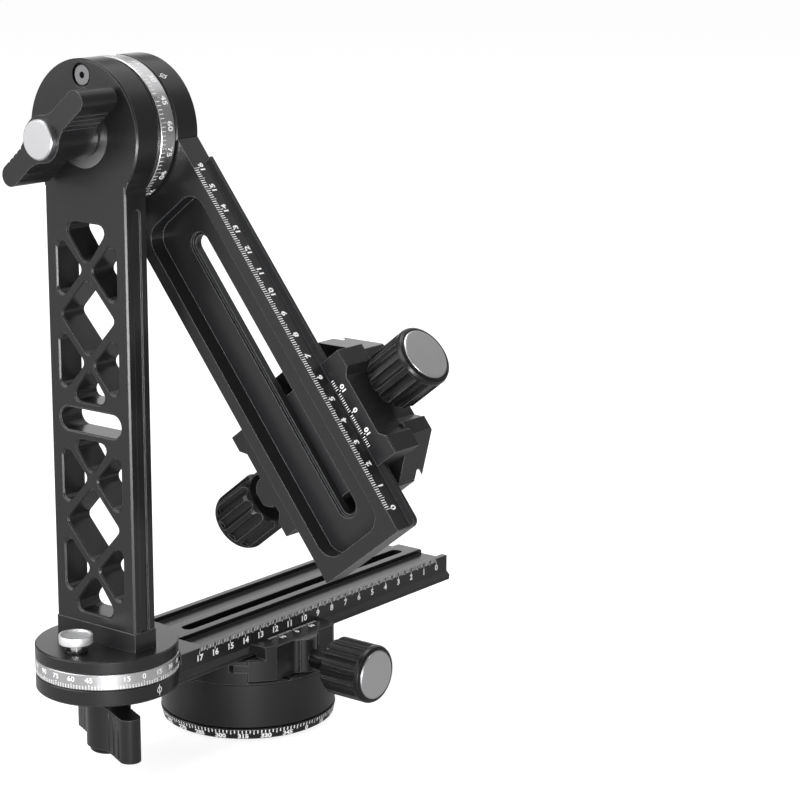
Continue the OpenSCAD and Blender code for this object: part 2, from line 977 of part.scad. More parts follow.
module slider_clamp() {
    color([0.055, 0.055, 0.06])
        slider_frame()
            difference() {
                intersection() {
                    rotate([90, 0, 90])
                        linear_extrude(height = 2 * clamp_half, center = true)
                            polygon([
                                [-half_w + 1.4, -slide_c + 0.4], [-half_w + 1.8, -slide_c],
                                [35, -slide_c], [35, tail_top - 0.6], [34.4, tail_top],
                                [20, tail_top], [20, -0.1], [-half_w + 1.4, -0.1]
                            ]);
                    translate([0, 0, -20])
                        linear_extrude(height = 40)
                            polygon([
                                [-clamp_half, -60], [clamp_half, -60], [clamp_half, 34.9],
                                [16.2, 34.9], [13.1, 31.8], [-13.1, 31.8], [-16.2, 34.9],
                                [-clamp_half, 34.9]
                            ]);
                }
                rotate([90, 0, 90])
                    linear_extrude(height = 80, center = true)
                        polygon(tail_section(20, 0.1));
                translate([rail_knob_a, 25, clamp_knob_c])
                    rotate([90, 0, 0])
                        cylinder(r = screw_r + run, h = 60);
                for (a = [-16, 16])
                    translate([a, 0, clamp_knob_c]) {
                        rotate([90, 0, 0])
                            cylinder(r = 2 + run, h = 40, $fn = 48);
                        translate([0, -half_w + 8, 0])
                            rotate([90, 0, 0])
                                cylinder(r = 3.3, h = 20, $fn = 48);
                    }
                for (a = [-12, 12])
                    for (b = [-8, 8])
                        translate([a, b, -30]) {
                            cylinder(r = 1.7, h = 40, $fn = 32);
                            translate([0, 0, 30 - 4])
                                cylinder(r = 3.2, h = 10, $fn = 32);
                        }
            }
}

module slider_jaw() {
    color([0.055, 0.055, 0.06])
        slider_frame()
            difference() {
                intersection() {
                    rotate([90, 0, 90])
                        linear_extrude(height = 2 * clamp_half, center = true)
                            polygon([
                                [-41, -slide_c + 0.4], [-40.6, -slide_c], [-half_w + 1.1, -slide_c],
                                [-half_w + 1.1, -0.3], [-half_w - 0.1, -0.3],
                                [-half_w - 0.1, tail_top], [-40.4, tail_top], [-41, tail_top - 0.6]
                            ]);
                    translate([0, 0, -20])
                        linear_extrude(height = 40)
                            union() {
                                polygon([
                                    [-clamp_half, 0], [-clamp_half, -37.5], [-17, -37.5],
                                    [-14, -34.5], [14, -34.5], [17, -37.5],
                                    [clamp_half, -37.5], [clamp_half, 0]
                                ]);
                                translate([rail_knob_a, -34.5])
                                    circle(r = 6.4);
                            }
                }
                rotate([90, 0, 90])
                    linear_extrude(height = 80, center = true)
                        polygon(tail_section(20, 0.1));
                translate([rail_knob_a, 0, clamp_knob_c])
                    rotate([90, 0, 0])
                        cylinder(r = screw_r + rest, h = 60);
                for (a = [-16, 16])
                    translate([a, 0, clamp_knob_c])
                        rotate([90, 0, 0])
                            cylinder(r = 2 + run, h = 31, $fn = 48);
            }
}

module slider_guide_pins() {
    color([0.75, 0.75, 0.77])
        slider_frame()
            for (a = [-16, 16])
                translate([a, -2, clamp_knob_c])
                    rotate([90, 0, 0])
                        cylinder(r = 2, h = 28.9, $fn = 48);
}

module slider_springs() {
    color([0.6, 0.6, 0.62])
        slider_frame()
            for (a = [-16, 16])
                translate([a, -half_w + 7.9, clamp_knob_c])
                    rotate([90, 0, 0])
                        coil(2.65, 0.28, 6.6, 5);
}

module slider_screw() {
    color([0.7, 0.7, 0.72])
        slider_knob_frame()
            clamp_screw(43 + 12);
}

module slider_knob() {
    color([0.04, 0.04, 0.045])
        slider_knob_frame() {
            fluted_knob();
            neck(43 - 40.9 - rest);
        }
}

module slider_knob_cap() {
    color([0.8, 0.8, 0.81])
        slider_knob_frame()
            knob_cap();
}

// ---- slider, clamp for the camera plate ---------------------------------

module camera_outline() {
    polygon([
        [-34, -15], [-20, -33], [20, -33], [34, -15], [34, 15], [20, 33], [-20, 33], [-34, 15]
    ]);
}

module camera_clamp() {
    color([0.055, 0.055, 0.06])
        camera_frame()
            difference() {
                intersection() {
                    rotate([90, 0, 90])
                        linear_extrude(height = 68, center = true)
                            polygon([
                                [-15.5, -cam_c], [33, -cam_c], [33, cam_lip - 0.6],
                                [32.4, cam_lip], [12, cam_lip], [12, 0], [-15.5, 0]
                            ]);
                    translate([0, 0, -20])
                        linear_extrude(height = 40)
                            camera_outline();
                }
                rotate([90, 0, 90])
                    linear_extrude(height = 80, center = true)
                        polygon(camera_section(0));
                translate([cam_knob_a, 25, clamp_knob_c])
                    rotate([90, 0, 0])
                        cylinder(r = screw_r + run, h = 60);
                for (a = [-22, 22])
                    translate([a, 0, clamp_knob_c]) {
                        translate([0, 6, 0])
                            rotate([90, 0, 0])
                                cylinder(r = 2 + run, h = 40, $fn = 48);
                        translate([0, -9, 0])
                            rotate([90, 0, 0])
                                cylinder(r = 3.3, h = 20, $fn = 48);
                    }
                for (a = [-10, 14])
                    for (b = [-8, 8])
                        translate([a, b, -30])
                            cylinder(r = 1.7, h = 30 - 3, $fn = 32);
            }
}

module camera_jaw() {
    color([0.055, 0.055, 0.06])
        camera_frame()
            difference() {
                intersection() {
                    rotate([90, 0, 90])
                        linear_extrude(height = 68, center = true)
                            polygon([
                                [-33, -cam_c], [-15.8, -cam_c], [-15.8, -0.3], [-15.8, cam_lip],
                                [-32.4, cam_lip], [-33, cam_lip - 0.6]
                            ]);
                    translate([0, 0, -20])
                        linear_extrude(height = 40)
                            difference() {
                                camera_outline();
                                polygon([[-14, -40], [-14, -32], [-11, -28.6], [11, -28.6],
                                    [14, -32], [14, -40]]);
                            }
                }
                rotate([90, 0, 90])
                    linear_extrude(height = 80, center = true)
                        polygon(camera_section(0));
                translate([cam_knob_a, 0, clamp_knob_c])
                    rotate([90, 0, 0])
                        cylinder(r = screw_r + rest, h = 60);
                for (a = [-22, 22])
                    translate([a, 0, clamp_knob_c])
                        rotate([90, 0, 0])
                            cylinder(r = 2 + run, h = 24, $fn = 48);
            }
}

module camera_guide_pins() {
    color([0.75, 0.75, 0.77])
        camera_frame()
            for (a = [-22, 22])
                translate([a, 5, clamp_knob_c])
                    rotate([90, 0, 0])
                        cylinder(r = 2, h = 28.9, $fn = 48);
}

module camera_springs() {
    color([0.6, 0.6, 0.62])
        camera_frame()
            for (a = [-22, 22])
                translate([a, -9.1, clamp_knob_c])
                    rotate([90, 0, 0])
                        coil(2.65, 0.28, 6.2, 5);
}

module camera_screw() {
    color([0.7, 0.7, 0.72])
        camera_knob_frame()
            clamp_screw(33.6 + 10);
}

module camera_knob() {
    color([0.04, 0.04, 0.045])
        camera_knob_frame() {
            fluted_knob();
            neck(33.6 - 28.6 - rest);
        }
}

module camera_knob_cap() {
    color([0.8, 0.8, 0.81])
        camera_knob_frame()
            knob_cap();
}

module joining_screws() {
    color([0.3, 0.3, 0.31])
        slider_frame()
            for (a = [-12, 12])
                for (b = [-8, 8])
                    translate([a, b, -slide_c - 6])
                        cap_screw(1.6, slide_c + 2, 3, 2.6);
}

base_plate();
tripod_bush();
pan_washer();
retaining_disc();
retaining_screw();
drum();
base_clamp();
base_clamp_screws();
base_jaw();
base_guide_pins();
base_springs();
base_screw();
base_knob();
base_knob_cap();
lower_rail();
stop_screws();
turn_washer();
degree_ring();
turn_disc();
turn_bolt();
foot_block();
foot_screws();
pin_bush();
index_pin();
pin_spring();
lower_spacer();
lower_wing();
lower_wing_cap();
post();
post_screw();
head_ring();
head_washer();
wing_washer();
upper_wing();
upper_wing_cap();
head_bolt();
upper_rail();
slider_clamp();
slider_jaw();
slider_guide_pins();
slider_springs();
slider_screw();
slider_knob();
slider_knob_cap();
camera_clamp();
camera_jaw();
camera_guide_pins();
camera_springs();
camera_screw();
camera_knob();
camera_knob_cap();
joining_screws();
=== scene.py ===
# Panoramic tripod head, dressed: finishes, rulers, verniers, degree scales, index marks,
# the polished index plunger and the grip ribs of the wing knobs.
import math

import bmesh
import bpy
from mathutils import Matrix, Vector

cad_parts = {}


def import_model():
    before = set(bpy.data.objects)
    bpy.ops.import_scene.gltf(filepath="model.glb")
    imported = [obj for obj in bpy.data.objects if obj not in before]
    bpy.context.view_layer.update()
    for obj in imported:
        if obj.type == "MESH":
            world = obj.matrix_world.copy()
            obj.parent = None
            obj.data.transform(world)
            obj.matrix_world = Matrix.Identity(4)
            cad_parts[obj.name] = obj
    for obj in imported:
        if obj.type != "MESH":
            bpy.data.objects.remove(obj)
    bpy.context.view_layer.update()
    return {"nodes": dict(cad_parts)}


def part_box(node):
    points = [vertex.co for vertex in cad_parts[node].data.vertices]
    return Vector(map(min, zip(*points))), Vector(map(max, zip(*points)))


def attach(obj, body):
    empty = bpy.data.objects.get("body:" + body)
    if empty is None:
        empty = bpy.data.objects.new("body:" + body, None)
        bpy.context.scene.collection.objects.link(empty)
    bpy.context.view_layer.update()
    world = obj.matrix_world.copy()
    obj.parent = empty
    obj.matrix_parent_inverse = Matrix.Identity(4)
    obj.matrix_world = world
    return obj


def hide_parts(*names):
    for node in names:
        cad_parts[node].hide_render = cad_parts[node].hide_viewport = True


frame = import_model()


# Black bars, discs and clamps: aluminium, milled or turned, then bead-blasted and anodised
# a satin black. The blasting leaves a fine even grain. The edges are painted lighter, partly as
# wear and partly as a painted highlight.
MM = 0.001
GRAIN_DEPTH = 0.02 * MM
BROKEN_EDGE = 0.45 * MM
# How strongly and from where the edges are painted lighter, for wear and as a painted highlight.
EDGE_WEAR_AND_HIGHLIGHT_GAIN = 7.0
EDGE_WEAR_AND_HIGHLIGHT_START = 0.5


class Wire:
    """A shader socket, wrapped so that sums of sockets are written as sums."""

    def __init__(self, tree, socket):
        self.tree, self.socket = tree, socket

    def math(self, operation, a, b):
        return add_node(self.tree, "ShaderNodeMath", {"operation": operation}, {0: a, 1: b})

    def __add__(self, other):
        return self.math("ADD", self, other)

    def __radd__(self, other):
        return self.math("ADD", other, self)

    def __sub__(self, other):
        return self.math("SUBTRACT", self, other)

    def __rsub__(self, other):
        return self.math("SUBTRACT", other, self)

    def __mul__(self, other):
        return self.math("MULTIPLY", self, other)

    def __rmul__(self, other):
        return self.math("MULTIPLY", other, self)


def add_node(tree, kind, settings, values, out=0):
    """A new shader node with its settings and inputs; returns one of its outputs."""
    made = tree.nodes.new(kind)
    for name, value in settings.items():
        setattr(made, name, value)
    for name, value in values.items():
        if isinstance(value, Wire):
            tree.links.new(value.socket, made.inputs[name])
        else:
            made.inputs[name].default_value = value
    return Wire(tree, made.outputs[out])


def finish_of(name, colour, roughness, metallic):
    """A new material with a plain Principled shader; returns it, its tree and its shader."""
    material = bpy.data.materials.new(name)
    material.use_nodes = True
    shader = material.node_tree.nodes["Principled BSDF"]
    shader.inputs["Base Color"].default_value = (*colour, 1)
    shader.inputs["Roughness"].default_value = roughness
    shader.inputs["Metallic"].default_value = metallic
    return material, material.node_tree, shader


def grain(tree, shader, fineness, roughness, spread, edge_wear_and_highlight=None):
    """Fine grain in the roughness and a shallow bump, over softly broken edges.
    The last argument, where given, is the lighter colour painted on the edges: partly wear, partly
    a painted highlight."""
    place = add_node(tree, "ShaderNodeTexCoord", {}, {}, out="Object")
    noise = add_node(tree, "ShaderNodeTexNoise", {},
                     {"Vector": place, "Scale": fineness, "Detail": 3.0})
    uneven = roughness + (noise - 0.5) * spread
    tree.links.new(uneven.socket, shader.inputs["Roughness"])
    broken = add_node(tree, "ShaderNodeBevel", {"samples": 4}, {"Radius": BROKEN_EDGE})
    if edge_wear_and_highlight:
        level = add_node(tree, "ShaderNodeNewGeometry", {}, {}, out="True Normal")
        along = add_node(tree, "ShaderNodeVectorMath", {"operation": "DOT_PRODUCT"},
                         {0: broken, 1: level}, out="Value")
        # Edges, found where the bevel normal turns away from the face, get a lighter painted
        # colour: partly wear, partly a painted highlight.
        edge_wear_and_highlight_mask = add_node(tree, "ShaderNodeMath", {"operation": "SUBTRACT", "use_clamp": True},
                        {0: (1.0 - along) * EDGE_WEAR_AND_HIGHLIGHT_GAIN, 1: EDGE_WEAR_AND_HIGHLIGHT_START})
        plain = tuple(shader.inputs["Base Color"].default_value)
        mixed = add_node(tree, "ShaderNodeMixRGB", {},
                         {"Fac": edge_wear_and_highlight_mask, "Color1": plain, "Color2": (*edge_wear_and_highlight, 1)})
        tree.links.new(mixed.socket, shader.inputs["Base Color"])
    bump = add_node(tree, "ShaderNodeBump", {},
                    {"Height": noise, "Strength": 0.35, "Distance": GRAIN_DEPTH,
                     "Normal": broken})
    tree.links.new(bump.socket, shader.inputs["Normal"])


def blasted_black(name, colour, roughness, sheen, fineness, spread, edge_wear_and_highlight):
    """A black anodised finish with grain, and edges painted lighter as wear and as a painted
    highlight.
    """
    material, tree, shader = finish_of(name, colour, roughness, 0.0)
    shader.inputs["Specular IOR Level"].default_value = sheen
    grain(tree, shader, fineness, roughness, spread, edge_wear_and_highlight)
    return material


def paint(material, *names):
    """Gives CAD nodes a finish and leaves their meshes alone."""
    for name in names:
        for place in frame["nodes"][name].material_slots:
            place.material = material


BLACK = blasted_black("black_anodised", (0.013, 0.013, 0.014), roughness=0.3, sheen=0.38,
                      fineness=2600.0, spread=0.1, edge_wear_and_highlight=(0.24, 0.24, 0.245))
paint(BLACK, "base_plate", "drum", "base_clamp", "base_jaw", "lower_rail", "turn_disc",
      "foot_block", "post", "upper_rail", "slider_clamp", "slider_jaw", "camera_clamp",
      "camera_jaw", "lower_spacer")


# Fluted knobs and wing knobs: aluminium, turned and then milled. The wings have the black
# of the bars. The fluted knobs, the lower wing's cap and the pin's bush have a deeper one.
# Their edges are painted lighter too: partly wear, partly a painted highlight.
KNOB_BLACK = blasted_black("knob_black", (0.005, 0.005, 0.0053), roughness=0.28, sheen=0.36,
                           fineness=3200.0, spread=0.08, edge_wear_and_highlight=(0.16, 0.16, 0.165))
paint(KNOB_BLACK, "base_knob", "slider_knob", "camera_knob", "lower_wing_cap", "pin_bush")
paint(BLACK, "lower_wing", "upper_wing")


# Degree rings and knob caps: bare aluminium, clear anodised. The rings are turned to a
# satin and seated on their hubs, the duller caps are pressed into the ends of the knobs.
def clear_anodised(name, colour, roughness):
    material, tree, shader = finish_of(name, colour, roughness, 1.0)
    grain(tree, shader, 1800.0, roughness, 0.1)
    return material


paint(clear_anodised("silver_ring", (0.62, 0.62, 0.63), 0.3), "degree_ring", "head_ring")
paint(clear_anodised("silver_cap", (0.55, 0.55, 0.56), 0.38), "base_knob_cap",
      "upper_wing_cap", "slider_knob_cap", "camera_knob_cap")


# Bush, bolts, guide pins, springs, screws and the wing's washer: plain steel, turned or
# wound. The screws that hold the pieces together are blackened, the post's own is duller.
def steel(name, colour, roughness):
    return finish_of(name, colour, roughness, 1.0)[0]


paint(steel("bright_steel", (0.5, 0.5, 0.52), 0.3), "tripod_bush", "retaining_disc",
      "base_guide_pins", "base_springs", "base_screw", "turn_bolt", "pin_spring", "head_bolt",
      "slider_guide_pins", "slider_springs", "slider_screw", "camera_guide_pins",
      "camera_springs", "camera_screw")
paint(steel("satin_washer", (0.55, 0.55, 0.56), 0.35), "wing_washer")
paint(steel("screw_steel", (0.2, 0.2, 0.205), 0.35), "post_screw")
paint(steel("black_steel", (0.05, 0.05, 0.052), 0.4), "retaining_screw", "base_clamp_screws",
      "stop_screws", "foot_screws", "joining_screws")


# Slip washers: thin off-white plastic with low friction, stamped from sheet. They lie
# loose and hidden between the turning faces.
paint(finish_of("slip_plastic", (0.7, 0.69, 0.66), 0.5, 0.0)[0],
      "pan_washer", "turn_washer", "head_washer")


# Ruler of the lower rail: millimetre ticks cut from the top edge of the side face, with
# centimetre numerals under them. Both are engraved and filled with white paint.
WHITE = finish_of("scale_white", (0.86, 0.86, 0.86), 0.5, 0.0)[0]
SKIN = 0.03 * MM
PROUD = 0.02 * MM
NUMERAL_STRETCH = 1.15
SIZE_PER_HEIGHT = 1.4


def only(piece):
    """Selects one piece and makes it the active one."""
    bpy.ops.object.select_all(action="DESELECT")
    piece.select_set(True)
    bpy.context.view_layer.objects.active = piece


def apply_place(piece, place):
    """Puts a piece in place and applies that, so that its object is at the origin."""
    piece.matrix_world = place @ piece.matrix_world
    only(piece)
    bpy.ops.object.transform_apply(location=True, rotation=True, scale=True)
    return piece


def stroke(width, length):
    """One tick: stands on its own X axis, runs down along -Y, faces +Z."""
    bpy.ops.object.select_all(action="DESELECT")
    bpy.ops.mesh.primitive_cube_add(size=1, location=(0, -length / 2, PROUD - SKIN / 2))
    made = bpy.context.active_object
    made.scale = (width, length, SKIN)
    bpy.ops.object.transform_apply(location=True, rotation=True, scale=True)
    return made


def row_of(piece, count, step):
    """Repeats a piece by a whole place: a shift, or a turn about the world origin."""
    guide = bpy.data.objects.new("guide", None)
    bpy.context.collection.objects.link(guide)
    guide.matrix_world = step
    bpy.context.view_layer.update()
    only(piece)
    array = piece.modifiers.new("row", "ARRAY")
    array.count = count
    array.use_relative_offset = False
    array.use_object_offset = True
    array.offset_object = guide
    bpy.ops.object.modifier_apply(modifier="row")
    bpy.data.objects.remove(guide)
    return piece


def numeral(text, height, place, weight=0.045):
    """A number lying on the XY plane, centred on the origin, then put in place."""
    bpy.ops.object.select_all(action="DESELECT")
    bpy.ops.object.text_add()
    made = bpy.context.active_object
    made.data.body = text
    made.data.size = height * SIZE_PER_HEIGHT
    made.data.align_x = "CENTER"
    made.data.align_y = "CENTER"
    made.data.resolution_u = 3
    made.data.offset = height * weight
    made.data.extrude = SKIN / 2
    bpy.ops.object.convert(target="MESH")
    made = bpy.context.active_object
    wide = Matrix.Diagonal((NUMERAL_STRETCH, 1, 1, 1))
    return apply_place(made, place @ Matrix.Translation((0, 0, PROUD - SKIN / 2)) @ wide)


def marks(name, pieces, material, body):
    """Joins small pieces to one named piece that rides on a body."""
    only(pieces[0])
    for piece in pieces:
        piece.select_set(True)
    bpy.ops.object.join()
    made = bpy.context.active_object
    made.name = name
    made.data.name = name
    made.data.materials.clear()
    made.data.materials.append(material)
    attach(made, body)
    return made


def facing(origin, right, up):
    """The place whose X runs right, whose Y runs up, and whose Z faces the reader."""
    right, up = Vector(right).normalized(), Vector(up).normalized()
    turn = Matrix((right, up, right.cross(up))).transposed().to_4x4()
    return Matrix.Translation(Vector(origin)) @ turn


def ruler(last, side, way, width, lengths, height, drop):
    """Ticks every millimetre from 0 to last centimetres, longer at 5 and 10, and numerals.
    side is the place of tick 0 at the edge; the numbers grow along its X axis times way.
    The tick's width and lengths, and the numeral's height and drop, are in millimetres."""
    parts = []
    for pitch, length in zip((1, 5, 10), lengths):
        tick = stroke(width * MM, length * MM)
        row_of(tick, last * 10 // pitch + 1, Matrix.Translation((way * pitch * MM, 0, 0)))
        parts.append(apply_place(tick, side))
    for number in range(last + 1):
        spot = side @ Matrix.Translation((way * 10 * number * MM, -drop * MM, 0))
        parts.append(numeral(str(number), height * MM, spot))
    return parts


RULE_ZERO_X = 112.8 * MM
SIDE_Y = -23.0 * MM
rail_edge = facing((RULE_ZERO_X, SIDE_Y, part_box("lower_rail")[1][2]), (1, 0, 0), (0, 0, 1))
low_ruler = ruler(17, rail_edge, way=-1, width=0.28, lengths=(1.7, 2.2, 2.9), height=2.7, drop=4.6)
marks("lower_rail_ruler", low_ruler, WHITE, "rail")


# Ruler of the upper rail: the same engraving on the side face of the tilted rail, from its
# front edge, a little larger. The numerals grow towards the pivot and are filled white.
ARM_TILT = math.radians(38.17)
low_head, high_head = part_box("head_ring")
PIVOT = Vector((0, 0, (low_head[2] + high_head[2]) / 2))
ARM = Matrix.Translation(PIVOT) @ Matrix.Rotation(-ARM_TILT, 4, "X")
FRONT_X = -73.6 * MM
ARM_ZERO = 194.7 * MM
arm_edge = ARM @ facing((FRONT_X, SIDE_Y, -ARM_ZERO), (0, 0, 1), (-1, 0, 0))
high_ruler = ruler(16, arm_edge, way=1, width=0.34, lengths=(2.3, 2.8, 3.5), height=2.6, drop=4.8)
marks("upper_rail_ruler", high_ruler, WHITE, "arm")


# Verniers: short rows of divisions beside each ruler, one on the base's jaw and one on the
# slider's clamp, labelled 10, 0 and 10. Engraved and filled white like the rulers.
LABEL_DROP = 3.9 * MM


def vernier(side, span):
    """Ticks 1 mm apart centred on the place, longer every 10, with labels under those."""
    parts = []
    half = span // 2
    for pitch, length in ((1, 1.5), (10, 2.4)):
        tick = stroke(0.28 * MM, length * MM)
        reach = half // pitch * pitch
        apply_place(tick, Matrix.Translation((-reach * MM, 0, 0)))
        row_of(tick, 2 * (half // pitch) + 1, Matrix.Translation((pitch * MM, 0, 0)))
        parts.append(apply_place(tick, side))
    for shift in (-10, 0, 10):
        spot = side @ Matrix.Translation((shift * MM, -LABEL_DROP, 0))
        parts.append(numeral(str(abs(shift)), 2.2 * MM, spot))
    return parts


JAW_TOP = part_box("base_jaw")[1][2]
base_vernier = facing((2.5 * MM, SIDE_Y - 0.9 * MM, JAW_TOP), (1, 0, 0), (0, 1, 0))
marks("base_vernier", vernier(base_vernier, 32), WHITE, "base_jaw_body")
SLIDER_FROM_PIVOT = 153.3 * MM
LIP_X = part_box("slider_clamp")[0][0]
slide_vernier = ARM @ facing((LIP_X, SIDE_Y - 0.7 * MM, -SLIDER_FROM_PIVOT), (0, 0, 1), (0, 1, 0))
marks("slider_vernier", vernier(slide_vernier, 31), WHITE, "slider")


# Degree scale of the base: ticks every 2.5 degrees under the seam, longer every 15, with
# numerals that count the full circle. Engraved in the plate's bevelled rim, filled white.
def round_ticks(radius, top, length, width, step, count, lean=0.0):
    """Ticks round the Z axis, hanging from height top on a wall of that radius."""
    tick = stroke(width, length)
    apply_place(tick, facing((0, -radius, top), (1, 0, 0), (0, math.sin(lean), math.cos(lean))))
    return row_of(tick, count, Matrix.Rotation(math.radians(step), 4, "Z"))


low_plate, high_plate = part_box("base_plate")
RIM = (high_plate[0] - low_plate[0]) / 2
RIM_TOP = 4.9 * MM
BEVEL = math.atan2(0.9, 3.9)
BASE_ZERO = 7.0
FIGURE_DROP = 3.05 * MM
parts = [round_ticks(RIM + 0.01 * MM, RIM_TOP, length * MM, 0.5 * MM, step, count, -BEVEL)
         for length, step, count in ((1.6, 2.5, 144), (2.1, 15, 24))]
figure_foot = (0, -(RIM + 0.02 * MM - FIGURE_DROP * math.sin(BEVEL)),
               RIM_TOP - FIGURE_DROP * math.cos(BEVEL))
figure_place = facing(figure_foot, (1, 0, 0), (0, -math.sin(BEVEL), math.cos(BEVEL)))
for k in range(24):
    turn = Matrix.Rotation(math.radians(-(BASE_ZERO + 15 * k)), 4, "Z")
    parts.append(numeral(str((360 - 15 * k) % 360), 2.05 * MM, turn @ figure_place, 0.07))
marks("base_scale", parts, WHITE, "base")


# Degree ring of the turntable: white ticks every 2.5 degrees along its lower edge, longer
# every 15. The numerals above them count up and down between 0 and 90.
TICK_LIFT = 0.005 * MM
FIGURE_LIFT = 0.03 * MM


def fold(value):
    """0 to 90 and back again, as the rings are numbered."""
    value = value % 180
    return value if value <= 90 else 180 - value


low_ring, high_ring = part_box("degree_ring")
RING_R = (high_ring[0] - low_ring[0]) / 2
DISC_X = (low_ring[0] + high_ring[0]) / 2
DISC_AXIS = Matrix.Translation((DISC_X, 0, 0))
parts = []
for length, step, count in ((1.7, 2.5, 144), (2.2, 15, 24)):
    ticks = round_ticks(RING_R + TICK_LIFT, low_ring[2] + (0.25 + length) * MM, length * MM,
                        0.3 * MM, step, count)
    parts.append(apply_place(ticks, DISC_AXIS))
figure_place = facing((0, -RING_R - FIGURE_LIFT, low_ring[2] + 4.3 * MM), (1, 0, 0), (0, 0, 1))
for k in range(24):
    turn = Matrix.Rotation(math.radians(-15 * (k + 1)), 4, "Z")
    parts.append(numeral(str(fold(15 * k)), 2.2 * MM, DISC_AXIS @ turn @ figure_place, 0.02))
marks("turntable_scale", parts, WHITE, "turntable")


# Degree ring of the post's head: the same engraving on the ring that lies on its side. Its
# numerals stand 20 degrees apart, six ticks to each, and it belongs to the post.
def on_head(angle, x):
    """The place on the head's rim at an angle back from its top, at x along the axis."""
    outward = Vector((0, -math.sin(angle), math.cos(angle)))
    along = Vector((0, -math.cos(angle), -math.sin(angle)))
    return facing(PIVOT + outward * (RING_R + FIGURE_LIFT) + Vector((x, 0, 0)), along,
                  (1, 0, 0))


HEAD_AXIS = (Matrix.Translation(PIVOT) @ Matrix.Rotation(math.radians(90), 4, "Y")
             @ Matrix.Rotation(math.radians(-90), 4, "Z"))
HEAD_STEP = 20
HEAD_ZERO = 3.0
parts = []
for length, step, count in ((2.2, HEAD_STEP / 6, 108), (2.8, HEAD_STEP, 18)):
    ticks = round_ticks(RING_R + TICK_LIFT, low_head[0] + (0.3 + length) * MM, length * MM,
                        0.34 * MM, step, count)
    parts.append(apply_place(ticks, HEAD_AXIS))
for k in range(18):
    value = 15 * k if k <= 12 else 15 * (18 - k)
    spot = on_head(math.radians(HEAD_ZERO + HEAD_STEP * k), low_head[0] + 5.1 * MM)
    parts.append(numeral(str(fold(value)), 2.7 * MM, spot, 0.03))
marks("head_scale", parts, WHITE, "turntable")


# Index marks: a circle crossed by a line, one on the lower disc and one on the arm's head,
# against which the degree rings are read. Engraved and filled white.
def index_mark(place):
    """A flat hoop and the line across it, put in place."""
    bpy.ops.object.select_all(action="DESELECT")
    bpy.ops.mesh.primitive_torus_add(major_radius=1.2 * MM, minor_radius=0.16 * MM,
                                     major_segments=32, minor_segments=6)
    hoop = bpy.context.active_object
    hoop.scale = (1, 1, 0.2)
    line = stroke(0.3 * MM, 4.8 * MM)
    apply_place(line, Matrix.Translation((0, 2.4 * MM, 0)))
    only(hoop)
    bpy.ops.object.transform_apply(location=True, rotation=True, scale=True)
    return [apply_place(hoop, place), apply_place(line, place)]


low_index = facing((DISC_X, -RING_R - FIGURE_LIFT, low_ring[2] - 3.6 * MM), (1, 0, 0), (0, 0, 1))
marks("rail_index", index_mark(low_index), WHITE, "rail")
high_index = on_head(math.radians(42), high_head[0] + 4.2 * MM)
marks("arm_index", index_mark(high_index), WHITE, "arm")


# Index plunger: a polished steel pin with a flat round head, turned in one piece, whose top
# is dished and whose rims are broken. It stands in its bush and is lifted by the head.
CHROME = steel("chrome", (0.85, 0.85, 0.86), 0.36)
CHROME.node_tree.nodes["Principled BSDF"].inputs["Metallic"].default_value = 0.7
paint(CHROME, "index_pin")
PIN_HEAD_R = 7.2 * MM
PIN_HEAD_TALL = 3.7 * MM
DISH_RIM = 1.1 * MM
DISH_DEEP = 0.7 * MM
DISH_SLOPE = 2.4 * MM
DISH_FALL = 0.45 * MM
STEM_INSET = 4.8 * MM


def pick_faces(piece, wanted):
    """Selects the faces whose middle and normal pass, and leaves edit mode on."""
    only(piece)
    bpy.ops.object.mode_set(mode="EDIT")
    bpy.ops.mesh.select_all(action="DESELECT")
    shape = bmesh.from_edit_mesh(piece.data)
    for face in shape.faces:
        face.select_set(wanted(face.calc_center_median(), face.normal))
    bmesh.update_edit_mesh(piece.data)


def plunger():
    """The head from a disc: dished from above, with the stem drawn down from below."""
    low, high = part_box("index_pin")
    middle = ((low[0] + high[0]) / 2, (low[1] + high[1]) / 2)
    bpy.ops.object.select_all(action="DESELECT")
    bpy.ops.mesh.primitive_cylinder_add(vertices=72, radius=PIN_HEAD_R, depth=PIN_HEAD_TALL,
                                        location=(*middle, high[2] - PIN_HEAD_TALL / 2))
    made = bpy.context.active_object
    made.name = made.data.name = "plunger"
    bpy.ops.object.transform_apply(location=True, rotation=True, scale=True)
    bpy.ops.object.mode_set(mode="EDIT")
    bpy.ops.mesh.select_mode(type="FACE")
    bpy.ops.object.mode_set(mode="OBJECT")
    pick_faces(made, lambda at, normal: normal.z > 0.9)
    bpy.ops.mesh.inset(thickness=DISH_RIM)
    bpy.ops.mesh.extrude_region_move(TRANSFORM_OT_translate={"value": (0, 0, -DISH_DEEP)})
    bpy.ops.mesh.inset(thickness=DISH_SLOPE)
    bpy.ops.transform.translate(value=(0, 0, -DISH_FALL))
    bpy.ops.object.mode_set(mode="OBJECT")
    pick_faces(made, lambda at, normal: normal.z < -0.9)
    bpy.ops.mesh.inset(thickness=STEM_INSET)
    bpy.ops.mesh.extrude_region_move(
        TRANSFORM_OT_translate={"value": (0, 0, low[2] - high[2] + PIN_HEAD_TALL)})
    bpy.ops.object.mode_set(mode="OBJECT")
    broken = made.modifiers.new("broken_rims", "BEVEL")
    broken.width, broken.segments = 0.3 * MM, 3
    broken.limit_method, broken.angle_limit = "ANGLE", math.radians(40)
    bpy.ops.object.modifier_apply(modifier="broken_rims")
    bpy.ops.object.shade_smooth_by_angle(angle=math.radians(30))
    made.data.materials.clear()
    made.data.materials.append(CHROME)
    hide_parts("index_pin")
    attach(made, "plunger")


plunger()


# Grip ribs of the wing knobs: upright ribs with round ends, milled on the leading flank of
# each arm and anodised with it, so that the fingers hold when the wing is turned.
RIB_REACHES = (12.0 * MM, 17.4 * MM, 22.8 * MM)
RIB_R = 0.55 * MM
RIB_LONG = 17.8 * MM
RIB_START = 3.9 * MM
FLANK_Y = -4.45 * MM


